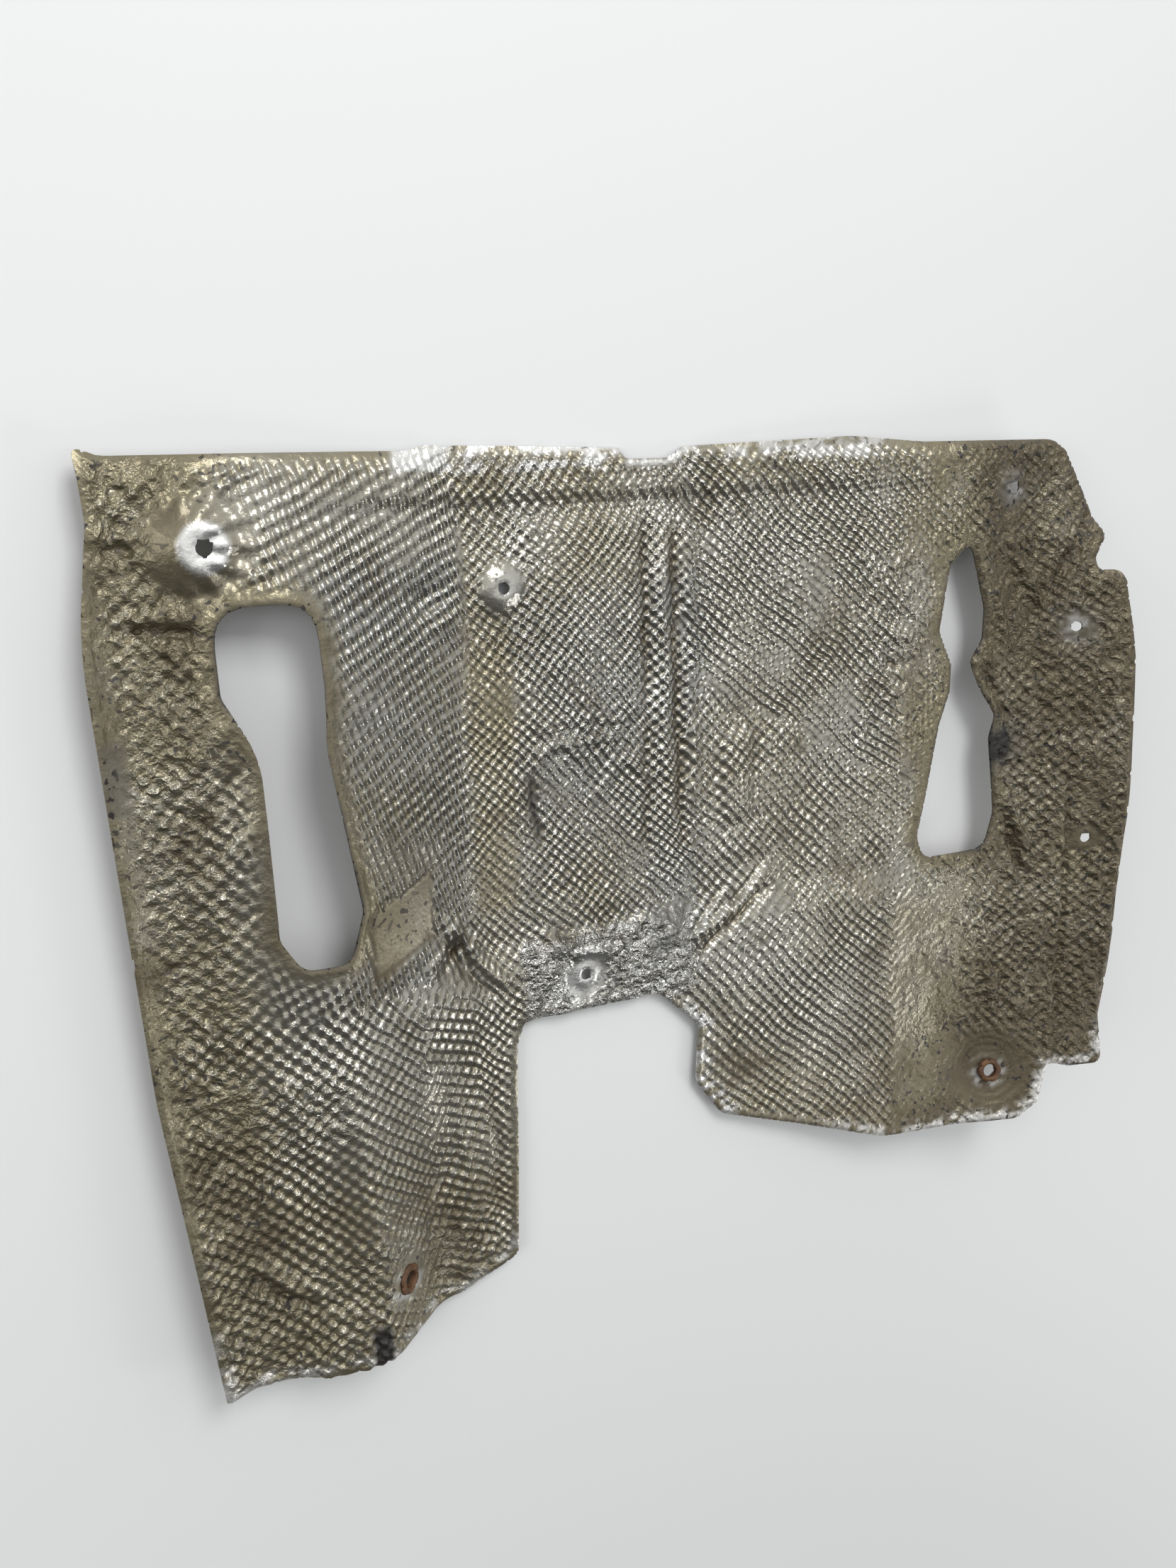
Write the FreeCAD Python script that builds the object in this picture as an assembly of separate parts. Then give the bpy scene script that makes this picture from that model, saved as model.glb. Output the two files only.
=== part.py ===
import FreeCAD, Part
import math
import os

V = FreeCAD.Vector

# All sizes in mm. X runs across the shield, Y up it, Z out of the exposed face.
# The sizes are measured from the flat floor of the middle channel, Z = 0, with X = 0 near its
# middle; the finished pieces are moved together so that the box's bottom centre is the origin.

# Sheet
sheet_t = 1.0
trim_margin = 24.0

# Outline
left_x = -258.5
left_foot_x = -238.5
left_bend_y = 100.0
top_y = 179.0
tip_x = -251.0
tip_rise = 4.0
tip_w = 11.0
pinch_y = 152.0
pinch_in = 9.0
rim_step_x = -91.0
rim_step_rise = 2.5
dip_x0 = 18.0
dip_x1 = 59.0
dip_d = 6.0
dip_side_0 = 4.0
dip_side_1 = 12.0
crown_x = 172.0
crown_x1 = 224.0
crown_rise = 4.0
chamfer_x0 = 326.0
chamfer_x1 = 360.0
chamfer_y1 = 119.0
side_notch_in = 11.0
side_notch_y0 = 105.0
side_notch_y1 = 97.0
side_x0 = 362.0
side_x = 376.0
side_bulge_y = 40.0
side_bow = 4.0
side_y = -50.0
corner_x = 368.0
corner_y = -249.0
step_x = 330.0
step_rise = 4.0
step_w = 14.0
toe_x = 321.0
toe_y = -272.0
toe_tip_x = 305.0
toe_tip_y = -282.0
toe_x1 = 276.0
toe_y1 = -281.5
hem_x = 202.0
hem_y = -277.0
heel_x = 82.0
heel_y = -231.0
notch_right_x = 63.0
notch_waist_y = -203.0
notch_shoulder_x = 66.0
notch_shoulder_y = -166.0
notch_top_y = -132.0
notch_top_x0 = -53.0
notch_top_x1 = 36.0
notch_top_fall = 4.0
notch_left_x = -58.0
notch_left_y = -146.0
notch_left_foot_x = -64.0
leg_inner_y = -278.0
leg_toe_x = -100.0
leg_foot_y = -291.0
leg_thumb_x = -177.0
leg_thumb_drop = 6.0

# Corner radii of the cut edges
tight_r = 3.0
edge_r = 6.0
soft_r = 13.0
sweep_r = 60.0
long_r = 200.0

# Left opening: a round head that narrows to a straight neck with a round end
slot_head_x = -180.5
slot_head_y = 90.0
slot_head_r = 23.0
slot_head_drop = 17.0
slot_neck_y = 45.0
slot_neck_x0 = -190.0
slot_neck_x1 = -160.0
slot_end_y = -62.0
slot_side_y0 = -46.0
slot_side_y1 = -38.0
slot_end_x0 = -189.0
slot_end_x1 = -148.0
slot_r = 9.0

# Right opening: a narrow spindle over a pinched waist and a wider foot
vent_top_x = 262.0
vent_top_y = 119.0
vent_shoulder_x = 247.0
vent_shoulder_y = 104.0
vent_shoulder_y1 = 76.0
vent_belly_y0 = 64.0
vent_belly_y1 = 56.0
vent_belly_x0 = 241.0
vent_belly_x1 = 276.0
vent_throat_x = 276.0
vent_throat_y = 24.0
vent_waist_y = 42.0
vent_waist_x0 = 252.0
vent_waist_x1 = 267.0
vent_lobe_y = 5.0
vent_lobe_x0 = 245.0
vent_lobe_x1 = 290.0
vent_nip_x = 286.0
vent_nip_y = -10.0
vent_side_y0 = -70.0
vent_side_y1 = -62.0
vent_heel_w = 7.0
vent_foot_y = -86.0
vent_foot_x0 = 230.0
vent_foot_x1 = 294.0
vent_r = 12.0

# Left rib, whose crest carries the left opening and ends in the leg
rib_crest_x = -166.0
rib_lean = 0.055
rib_h = 36.0
rib_top_h = 20.0
rib_fade_y = 60.0
rib_foot_x = -75.0
rib_shelf_w = 10.0
rib_shelf_h = 13.0
rib_crest_w = 12.0
leg_y0 = -118.0
leg_y1 = -215.0
leg_flank_x = -112.0
leg_shelf_w = 18.0
leg_shelf_h = 19.0
leg_crest_w = 4.0
foot_w = 9.0
shelf_bend = 4.0

# Strip turned up along the left edge
strip_w = 15.0
strip_rise = 0.35
strip_bend = 3.0

# Channel: raised band at the top, turned-back top rim, ledge at the notch
band_y = 158.0
band_h = 4.0
band_w = 6.0
rim_w = 8.0
rim_drop = 4.0
ledge_y = -84.0
ledge_w = 18.0

# Right side: a slow rise, then the wing that turns up to the edge
rise_x = 70.0
rise_slope = 0.10
rise_w = 10.0
wing_x = 306.0
wing_slope = 0.48
wing_w = 12.0
wing_top_y0 = 90.0
wing_top_y1 = 130.0
wing_top_share = 0.25
wing_foot_x = 266.0
wing_foot_share = 0.58
curl_h = 18.0

# Screw holes and their seats
screw_r = 3.25
post_r = 3.75
upper_seat_z = 25.0
lower_seat_z = 6.0
post_x = -204.0
post_y = 139.5
post_flat_r = 13.0
post_foot_r = 30.0
post_drop = 12.0
tab_x = 291.0
tab_y = 150.0
tab_flat_r = 9.0
tab_foot_r = 17.0
tab_drop = 6.0
mid_x = -54.0
mid_y = 110.5
mid_flat_r = 8.0
mid_foot_r = 18.0
mid_drop = 9.0
ledge_hole_x = -13.0
ledge_hole_y = -112.5
wing_hole_x0 = 338.0
wing_hole_y0 = 61.0
wing_hole_x1 = 352.0
wing_hole_y1 = -83.0

# Crimped eyelets
eyelet_bore_r = 4.5
eyelet_wall = 1.0
eyelet_ring_r = 8.6
eyelet_flange_t = 1.0
eyelet_back_r = 8.0
eyelet_gap = 0.3
toe_eye_x = 290.0
toe_eye_y = -247.0
flank_eye_x = -138.0
flank_eye_y = -254.0

prism_low = -60.0
prism_h = 240.0
eyelet_out_r = eyelet_bore_r + eyelet_wall
eyelet_hole_r = eyelet_out_r + eyelet_gap


def ramp(t, a, b):
    """Straight step from 0 at t = a to 1 at t = b."""
    return min(max((t - a) / (b - a), 0.0), 1.0)


def mix(a, b, share):
    return a + (b - a) * share


def left_edge(y):
    """X of the left edge: straight, then curving in to the leg's foot."""
    t = max(left_bend_y - y, 0.0) / (left_bend_y - leg_foot_y)
    return left_x + (left_foot_x - left_x) * t * t


def corners(y):
    """Section of the exposed face at a height y: (x, z, half width of the bend) from left to right."""
    leg = ramp(y, leg_y0, leg_y1)
    rim = rim_drop * ramp(y, top_y - rim_w, top_y)
    shelf = mix(rib_shelf_h, leg_shelf_h, leg) - rim
    crest = mix(rib_h, rib_top_h, ramp(y, rib_fade_y, top_y)) - rim
    floor = lower_seat_z * ramp(y, ledge_y, ledge_y - ledge_w) - rim
    floor += band_h * ramp(y, band_y - band_w, band_y)
    turn_x = mix(wing_x, wing_foot_x, leg)
    turn = rise_slope * (turn_x - rise_x) + curl_h * ramp(y, leg_y1, leg_foot_y) - rim
    share = mix(1.0, wing_foot_share, leg) * mix(1.0, wing_top_share, ramp(y, wing_top_y0, wing_top_y1))
    strip_x = left_edge(y) + strip_w
    end_x = side_x + trim_margin
    return [
        (strip_x - strip_w - trim_margin, shelf + strip_rise * (strip_w + trim_margin), 0.0),
        (strip_x, shelf, strip_bend),
        (strip_x + mix(rib_shelf_w, leg_shelf_w, leg), shelf, shelf_bend),
        (rib_crest_x - rib_lean * y, crest, mix(rib_crest_w, leg_crest_w, leg)),
        (mix(rib_foot_x, leg_flank_x, leg), floor, foot_w),
        (rise_x, floor, rise_w),
        (turn_x, turn, wing_w),
        (end_x, turn + (rise_slope + wing_slope * share) * (end_x - turn_x), 0.0),
    ]


def stations():
    """Heights where the section changes, from the leg's foot to the top edge."""
    heights = {
        leg_foot_y - trim_margin, leg_foot_y, leg_y1, leg_y0, ledge_y - ledge_w, ledge_y, left_bend_y,
        rib_fade_y, wing_top_y0, wing_top_y1, band_y - band_w, band_y, top_y - rim_w, top_y,
        top_y + trim_margin,
    }
    return sorted(heights)


def section(y, depth):
    """Runs of poles of a section, set back by depth: two poles make a line and three a bend."""
    points = corners(y)
    lines = []
    for (x0, z0, w0), (x1, z1, w1) in zip(points, points[1:]):
        along = V(x1 - x0, 0, z1 - z0).normalize()
        lines.append((V(x0, y, z0), along, V(along.z, 0, -along.x) * depth))
    runs = []
    start = lines[0][0] + lines[0][2]
    for i in range(1, len(lines)):
        at, before, after = V(points[i][0], y, points[i][1]), lines[i - 1], lines[i]
        w = points[i][2]
        first = at - before[1] * w + before[2]
        last = at + after[1] * w + after[2]
        half = before[2] + after[2]
        middle = at + half * (2.0 * depth * depth / (half.dot(half) or 1.0))
        runs += [[start, first], [first, middle, last]]
        start = last
    end = points[-1]
    runs.append([start, V(end[0], y, end[1]) + lines[-1][2]])
    return runs


def patch(run_a, run_b):
    """Face ruled between two runs of poles."""
    surface = Part.BezierSurface()
    surface.increase(len(run_a) - 1, 1)
    for i, (a, b) in enumerate(zip(run_a, run_b), 1):
        surface.setPole(i, 1, a)
        surface.setPole(i, 2, b)
    return surface.toShape()


def slab(top, bottom):
    """Closed solid between two rows of sections, one section to a station."""
    faces = []
    for rows in (top, bottom):
        for row_a, row_b in zip(rows, rows[1:]):
            faces += [patch(a, b) for a, b in zip(row_a, row_b)]
    for k in (0, -1):
        faces += [patch(a, b) for a, b in zip(top[k], bottom[k])]
    for j in range(len(top) - 1):
        for k in (0, -1):
            upper = [top[j][k][k], top[j + 1][k][k]]
            lower = [bottom[j][k][k], bottom[j + 1][k][k]]
            faces.append(patch(upper, lower))
    shell = Part.makeShell(faces)
    shell.sewShape()
    solid = Part.makeSolid(shell)
    if solid.Volume < 0:
        solid.reverse()
    return solid


def rounded(points):
    """Upright prism on a plan outline of (x, y, corner radius) points: lines joined by arcs.

    A corner's arc takes no more than 45 % of the shorter line beside it.
    """
    corners_cut = []
    count = len(points)
    for i, (x, y, r) in enumerate(points):
        p = V(x, y, prism_low)
        a = V(*points[i - 1][:2], prism_low) - p
        b = V(*points[(i + 1) % count][:2], prism_low) - p
        room = 0.45 * min(a.Length, b.Length)
        a.normalize()
        b.normalize()
        half = a.getAngle(b) / 2.0
        cut = min(r / math.tan(half), room) if r > 0 and half < 1.55 else 0.0
        mid = p
        if cut > 0:
            radius = cut * math.tan(half)
            middle = (a + b).normalize()
            mid = p + middle * (radius / math.sin(half) - radius)
        corners_cut.append((p + a * cut, mid, p + b * cut, cut))
    edges = []
    for i, (start, mid, end, cut) in enumerate(corners_cut):
        if cut > 0:
            edges.append(Part.Arc(start, mid, end).toShape())
        edges.append(Part.makeLine(end, corners_cut[(i + 1) % count][0]))
    face = Part.Face(Part.Wire(edges))
    return face.extrude(V(0, 0, prism_h))


def outline():
    """The cut edge in plan, clockwise from the tip at the upper left."""
    notch_x = chamfer_x1 - side_notch_in
    return [
        (tip_x, top_y + tip_rise, tight_r),
        (tip_x + tip_w, top_y, tight_r),
        (rim_step_x - tip_w, top_y, edge_r),
        (rim_step_x, top_y + rim_step_rise, tight_r),
        (dip_x0, top_y, tight_r),
        (dip_x0 + dip_side_0, top_y - dip_d, tight_r),
        (dip_x1 - dip_side_1, top_y - dip_d, edge_r),
        (dip_x1, top_y, edge_r),
        (crown_x, top_y + crown_rise, sweep_r),
        (crown_x1, top_y, sweep_r),
        (chamfer_x0, top_y, soft_r),
        (chamfer_x1, chamfer_y1, edge_r),
        (notch_x, side_notch_y0, edge_r),
        (notch_x, side_notch_y1, edge_r),
        (side_x0, side_notch_y1, edge_r),
        (side_x - side_bow, side_bulge_y, sweep_r),
        (side_x, side_y, long_r),
        (corner_x, corner_y, edge_r),
        (step_x + step_w, corner_y, soft_r),
        (step_x, corner_y + step_rise, edge_r),
        (toe_x, toe_y, edge_r),
        (toe_tip_x, toe_tip_y, soft_r),
        (toe_x1, toe_y1, soft_r),
        (hem_x, hem_y, sweep_r),
        (heel_x, heel_y, soft_r),
        (notch_right_x, notch_waist_y, soft_r),
        (notch_shoulder_x, notch_shoulder_y, edge_r),
        (notch_top_x1, notch_top_y - notch_top_fall, soft_r),
        (notch_top_x0, notch_top_y, tight_r),
        (notch_left_x, notch_left_y, edge_r),
        (notch_left_foot_x, leg_inner_y, edge_r),
        (leg_toe_x, leg_foot_y, soft_r),
        (rib_crest_x - rib_lean * leg_foot_y, leg_foot_y, tight_r),
        (leg_thumb_x, leg_foot_y - leg_thumb_drop, soft_r),
        (left_foot_x + strip_w, leg_foot_y, tight_r),
        (left_foot_x, leg_foot_y, tight_r),
        (left_edge(leg_y0), leg_y0, long_r),
        (left_x, left_bend_y, long_r),
        (left_x + pinch_in, pinch_y, edge_r),
    ]


def left_slot():
    """Left opening in plan: round head, neck and wider round end."""
    head = slot_head_r
    return [
        (slot_head_x - head, slot_head_y + head, head),
        (slot_head_x - head, slot_head_y - slot_head_drop, slot_r),
        (slot_neck_x0, slot_neck_y, sweep_r),
        (slot_end_x0, slot_side_y0, slot_r),
        (slot_end_x0 + slot_r, slot_end_y, slot_r),
        (slot_end_x1 - slot_r, slot_end_y, slot_r),
        (slot_end_x1, slot_side_y1, slot_r),
        (slot_neck_x1, slot_neck_y, sweep_r),
        (slot_head_x + head, slot_head_y - slot_head_drop, slot_r),
        (slot_head_x + head, slot_head_y + head, head),
    ]


def right_vent():
    """Right opening in plan: spindle, waist, lobe and foot."""
    return [
        (vent_top_x, vent_top_y, edge_r),
        (vent_shoulder_x, vent_shoulder_y, soft_r),
        (vent_belly_x0, vent_belly_y0, edge_r),
        (vent_waist_x0, vent_waist_y, edge_r),
        (vent_waist_x0, vent_throat_y, edge_r),
        (vent_lobe_x0, vent_lobe_y, soft_r),
        (vent_foot_x0, vent_side_y0, vent_r),
        (vent_foot_x0 + vent_heel_w, vent_foot_y, vent_r),
        (vent_foot_x1 - vent_heel_w, vent_foot_y, vent_r),
        (vent_foot_x1, vent_side_y1, vent_r),
        (vent_nip_x, vent_nip_y, vent_r),
        (vent_lobe_x1, vent_lobe_y, edge_r),
        (vent_throat_x, vent_throat_y, soft_r),
        (vent_waist_x1, vent_waist_y, edge_r),
        (vent_belly_x1, vent_belly_y1, edge_r),
        (vent_belly_x1, vent_shoulder_y1, soft_r),
    ]


def flat_at(x, y, k, h=2.0):
    """Point and unit normal at a plan position on the flat between corners k and k + 1."""
    def level(px, py):
        (x0, z0, _), (x1, z1, _) = corners(py)[k:k + 2]
        return z0 + (z1 - z0) * (px - x0) / (x1 - x0)
    gx = (level(x + h, y) - level(x - h, y)) / (2.0 * h)
    gy = (level(x, y + h) - level(x, y - h)) / (2.0 * h)
    return V(x, y, level(x, y)), V(-gx, -gy, 1.0).normalize()


def bossed(sheet, under, x, y, z, flat_r, foot_r, drop):
    """Sheet with a round seat struck up to level z on a tapered wall."""
    outer = Part.makeCone(foot_r, flat_r, drop, V(x, y, z - drop))
    inner = outer.copy()
    inner.translate(V(0, 0, -sheet_t))
    return sheet.cut(outer).fuse(outer.cut(inner).cut(under))


def pressed_sheet():
    """Sheet ruled between its sections, trimmed to the plan, with its openings and seats."""
    rows = stations()
    front = [section(y, 0.0) for y in rows]
    back = [section(y, sheet_t) for y in rows]
    deep = [[[V(p.x, p.y, prism_low) for p in run] for run in row] for row in back]
    sheet = slab(front, back)
    under = slab(back, deep)
    sheet = bossed(sheet, under, post_x, post_y, upper_seat_z, post_flat_r, post_foot_r, post_drop)
    sheet = bossed(sheet, under, tab_x, tab_y, upper_seat_z, tab_flat_r, tab_foot_r, tab_drop)
    sheet = bossed(sheet, under, mid_x, mid_y, lower_seat_z, mid_flat_r, mid_foot_r, mid_drop)
    sheet = sheet.common(rounded(outline()))
    return sheet.cut(rounded(left_slot())).cut(rounded(right_vent()))


SEATS = {
    "post": (V(post_x, post_y, upper_seat_z), V(0, 0, 1)),
    "tab": (V(tab_x, tab_y, upper_seat_z), V(0, 0, 1)),
    "mid": (V(mid_x, mid_y, lower_seat_z), V(0, 0, 1)),
    "ledge": (V(ledge_hole_x, ledge_hole_y, lower_seat_z), V(0, 0, 1)),
    "wing_0": flat_at(wing_hole_x0, wing_hole_y0, 6),
    "wing_1": flat_at(wing_hole_x1, wing_hole_y1, 6),
    "toe_eye": flat_at(toe_eye_x, toe_eye_y, 6),
    "flank_eye": flat_at(flank_eye_x, flank_eye_y, 3),
}


def hole_tool(name, radius):
    """Cylinder square to a seat, long enough to pass the sheet."""
    at, axis = SEATS[name]
    reach = 4.0 * sheet_t
    return Part.makeCylinder(radius, 2.0 * reach, at - axis * reach, axis)


def eyelet():
    """Crimped eyelet on the Z axis, turned from its half section; the exposed face is at Z = 0."""
    front = eyelet_gap
    back = -sheet_t - eyelet_gap
    half = [
        V(eyelet_bore_r, 0, back - eyelet_flange_t),
        V(eyelet_back_r, 0, back - eyelet_flange_t),
        V(eyelet_back_r, 0, back),
        V(eyelet_out_r, 0, back),
        V(eyelet_out_r, 0, front),
        V(eyelet_ring_r, 0, front),
        V(eyelet_ring_r - eyelet_flange_t / 2.0, 0, front + eyelet_flange_t),
        V(eyelet_bore_r, 0, front + eyelet_flange_t),
    ]
    return Part.Face(Part.makePolygon(half + half[:1])).revolve(V(0, 0, 0), V(0, 0, 1), 360)


def seated(shape, name):
    at, axis = SEATS[name]
    shape.Placement = FreeCAD.Placement(at, FreeCAD.Rotation(V(0, 0, 1), axis))
    return shape


sheet = pressed_sheet()
for hole in ("post", "tab"):
    sheet = sheet.cut(hole_tool(hole, post_r))
for hole in ("mid", "ledge", "wing_0", "wing_1"):
    sheet = sheet.cut(hole_tool(hole, screw_r))
for hole in ("toe_eye", "flank_eye"):
    sheet = sheet.cut(hole_tool(hole, eyelet_hole_r))
eyelets = Part.makeCompound([seated(eyelet(), "toe_eye"), seated(eyelet(), "flank_eye")])

box = sheet.optimalBoundingBox(False)
origin = V(box.Center.x, box.Center.y, box.ZMin)
for shape in (sheet, eyelets):
    shape.translate(-origin)

os.makedirs("parts", exist_ok=True)
sheet.exportStep("parts/heat_shield_sheet.step")
eyelets.exportStep("parts/steel_eyelets.step")
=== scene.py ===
import math

import bpy
import numpy as np
from mathutils import Matrix, Vector


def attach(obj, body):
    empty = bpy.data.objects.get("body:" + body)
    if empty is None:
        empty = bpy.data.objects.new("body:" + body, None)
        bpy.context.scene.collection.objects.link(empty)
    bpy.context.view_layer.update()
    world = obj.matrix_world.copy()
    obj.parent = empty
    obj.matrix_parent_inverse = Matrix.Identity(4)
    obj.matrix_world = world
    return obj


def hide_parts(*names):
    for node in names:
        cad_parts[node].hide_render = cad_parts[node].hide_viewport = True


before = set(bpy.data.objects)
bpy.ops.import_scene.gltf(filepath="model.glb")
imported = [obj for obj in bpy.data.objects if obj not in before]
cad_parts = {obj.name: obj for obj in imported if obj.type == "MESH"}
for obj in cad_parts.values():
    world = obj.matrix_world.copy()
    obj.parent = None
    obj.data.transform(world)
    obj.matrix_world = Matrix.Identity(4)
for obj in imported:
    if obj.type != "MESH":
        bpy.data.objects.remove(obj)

bl_info = {
    "name": "Heat Shield",
    "version": (1, 0, 0),
    "blender": (4, 5, 0),
    "location": "View3D > Sidebar > Heat Shield",
    "description": "Builds a weathered embossed heat shield with its eyelets, floor, lights and camera",
    "category": "Object",
}

# Lengths are in mm of the CAD source's frame. The meshes are in metres of the row's frame.
MM = 0.001
ORIGIN = np.array([58.906, -56.948, -1.0])
EYE = np.array([-310.1, 167.0, 558.2])

# Plan lines: x, y and the radius of each corner.
OUTLINE = (
    (-251, 183, 3), (-240, 179, 3), (-102, 179, 6), (-91, 181.5, 3), (18, 179, 3), (22, 173, 3),
    (47, 173, 6), (59, 179, 6), (172, 183, 60), (224, 179, 60), (326, 179, 13), (360, 119, 6),
    (349, 105, 6), (349, 97, 6), (362, 97, 6), (372, 40, 60), (376, -50, 200), (368, -249, 6),
    (344, -249, 13), (330, -245, 6), (321, -272, 6), (305, -282, 13), (276, -281.5, 13),
    (202, -277, 60), (82, -231, 13), (63, -203, 13), (66, -166, 6), (36, -136, 13), (-53, -132, 3),
    (-58, -146, 6), (-64, -278, 6), (-100, -291, 13), (-150, -291, 3), (-177, -297, 13),
    (-223.5, -291, 3), (-238.5, -291, 3), (-252.28, -118, 200), (-258.5, 100, 200), (-249.5, 152, 6),
)
SLOT = (
    (-203.5, 113, 23), (-203.5, 73, 9), (-190, 45, 60), (-189, -46, 9), (-180, -62, 9),
    (-157, -62, 9), (-148, -38, 9), (-160, 45, 60), (-157.5, 73, 9), (-157.5, 113, 23),
)
VENT = (
    (262, 119, 6), (247, 104, 13), (241, 64, 6), (252, 42, 6), (252, 24, 6), (245, 5, 13),
    (230, -70, 12), (237, -86, 12), (287, -86, 12), (294, -62, 12), (286, -10, 12), (290, 5, 6),
    (276, 24, 13), (267, 42, 6), (276, 56, 6), (276, 76, 13),
)

# Holes of the sheet: x, y, radius, and the radius round them that stays calm.
HOLES = {
    "upper_left": (-204, 139.5, 3.75, 22), "upper_right": (291, 150, 3.75, 10),
    "channel": (-54, 110.5, 3.25, 12), "ledge": (-13, -112.5, 3.25, 14),
    "wing_upper": (338, 61, 3.2, 9), "wing_lower": (352, -83, 3.2, 9),
    "toe": (290, -247, 5.6, 28), "leg": (-138, -254, 5.6, 13),
}
# Seats struck up round holes: height, flat radius, foot radius and the drop between them.
SEATS = {"upper_left": (25, 13, 30, 12), "upper_right": (25, 9, 17, 6), "channel": (6, 8, 18, 9)}
# Eyelets in holes: height and axis.
EYELETS = {"toe": (36.26, (-0.3455, 0.2163, 0.9131)), "leg": (25.49, (0.5996, 0.0214, 0.8000))}
# Half section of an eyelet: radius and height, from the foot of its barrel round to the foot again.
EYELET_SECTION = (
    (4.5, -2.2), (4.5, 0.9), (4.9, 1.5), (5.8, 1.75), (7.2, 1.6), (8.4, 0.9), (8.6, 0.3),
    (7.6, 0.25), (5.5, 0.2), (5.5, -1.3), (7.8, -1.4), (7.9, -2.2), (4.5, -2.2),
)
EYELET_TURNS = 72

# Pressed form: heights and slopes, and the y between which they change.
LEG_Y = (-118.0, -215.0)
RIM_DROP, RIM_Y = 4.0, (171.0, 179.0)
SHELF, SHELF_LEG = 13.0, 19.0
CREST, CREST_TOP, CREST_Y = 36.0, 20.0, (60.0, 179.0)
LEDGE_RISE, LEDGE_Y = 6.0, (-84.0, -102.0)
HEAD_RISE, HEAD_Y = 4.0, (152.0, 158.0)
RISE_X, RISE_SLOPE = 70.0, 0.10
TURN_X, TURN_X_LEG = 306.0, 266.0
TOE_RISE, TOE_Y = 18.0, (-215.0, -291.0)
WING_SLOPE, WING_LEG, WING_TOP, WING_Y = 0.48, 0.58, 0.25, (90.0, 130.0)
STRIP_X, STRIP_W, STRIP_SLOPE = -258.5, 15.0, -0.35
BOW_IN, BOW_TOP, BOW_LENGTH = 20.0, 100.0, 391.0

# Marks below are placed in the laid plan, which laid() makes.
# Folds: both ends, width and height. A negative height is a groove.
FOLDS = (
    (33, 152, 35, 30, 2.6, -2.0), (35, 40, 32, -60, 2.6, -1.5), (52, 152, 57, -66, 2.8, -2.2),
    (44, 152, 46, -40, 4.5, 1.8), (62, 150, 66, -40, 4.0, 1.2), (-42, 12, -36, -34, 1.8, -2.0),
    (-240, 103, -205, 101, 2.5, -2.5),
    (-238, 108, -206, 108, 3.0, 1.8), (0, -12, 17, 13, 4.0, 1.3), (17, 13, 36, -12, 4.0, 1.3),
    (58, -116, 130, -70, 4.0, 3.2), (66, -126, 128, -84, 3.0, -2.4), (72, -100, 112, -66, 3.0, 1.6),
    (-97, -60, -58, -115, 3.0, 2.6), (-104, -66, -66, -121, 3.0, -1.6), (-42, -80, -20, -101, 3.0, 2.0),
    (-20, -101, 10, -104, 3.0, 1.6), (10, -104, 32, -82, 3.0, 2.0), (395, -20, 402, -296, 2.6, -1.6),
    (310, 122, 355, 66, 3.5, 2.4), (355, 66, 396, 132, 3.5, -2.2), (320, -55, 356, -106, 3.5, 2.4),
    (326, -66, 352, -128, 3.0, -1.6), (-222, -235, -180, -275, 2.6, -2.6), (-218, -228, -176, -268, 3.0, 1.8),
    (-232, 20, -196, 60, 4.0, 1.3), (-232, -10, -190, 40, 4.0, -1.2), (-234, -44, -186, 10, 4.0, 1.3),
    (-196, -120, -168, -196, 4.0, 1.4), (-106, -98, -88, -62, 2.8, 1.9), (-98, -100, -80, -66, 2.6, -1.4),
    (-38, 22, 16, 25, 3.0, 1.3), (-70, -150, -72, -262, 3.0, -1.2), (-95, -150, -90, -240, 3.0, 1.2),
    (236, 30, 214, 22, 3.0, 1.4), (238, 44, 212, 44, 3.0, -1.4), (236, 58, 210, 64, 3.0, 1.4),
    (300, 90, 330, 30, 3.5, 1.8), (296, 40, 328, -10, 3.0, -1.8), (308, -140, 330, -230, 3.5, 1.6),
)

FOLD_GAIN = 1.6
# Zones: left, right, bottom, top and the width of their soft side.
ZONES = {
    "ledge": (-46.0, 60.0, -140.0, -92.0, 8.0),
    "toe_flat": (236.0, 292.0, -300.0, -118.0, 8.0),
    "thumb": (90.0, 101.0, -34.0, 10.0, 9.0),
    "thumb_foot": (92.0, 114.0, -58.0, -48.0, 9.0),
    "panel": (-38.0, 24.0, 38.0, 138.0, 9.0),
    "panel_foot": (-34.0, 12.0, 18.0, 32.0, 8.0),
    "recess": (-34.0, 24.0, -58.0, -2.0, 14.0),
    "leg_crease": (-224.0, -160.0, -172.0, -140.0, 10.0),
    "leg_end": (-225.0, -80.0, -330.0, -250.0, 12.0),
    "leg_tip": (-152.0, -144.0, -320.0, -300.0, 4.0),
    "vent_side": (196.0, 240.0, 0.0, 110.0, 12.0),
    "rib_foot": (-72.0, -54.0, -60.0, 165.0, 8.0),
    "strip_burn": (-253.0, -246.0, 22.0, 52.0, 6.0),
    "corner": (310.0, 420.0, 110.0, 210.0, 25.0),
    "dome_foot": (36.0, 60.0, -112.0, -84.0, 6.0),
    "top_left": (-104.0, 64.0, 172.0, 200.0, 6.0),
    "top_right": (90.0, 200.0, 174.0, 200.0, 5.0),
    "notch_side": (52.0, 96.0, -244.0, -140.0, 6.0),
    "flank": (-150.0, -86.0, -90.0, 120.0, 16.0),
    "channel": (-40.0, 60.0, -130.0, 100.0, 25.0),
}
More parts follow.
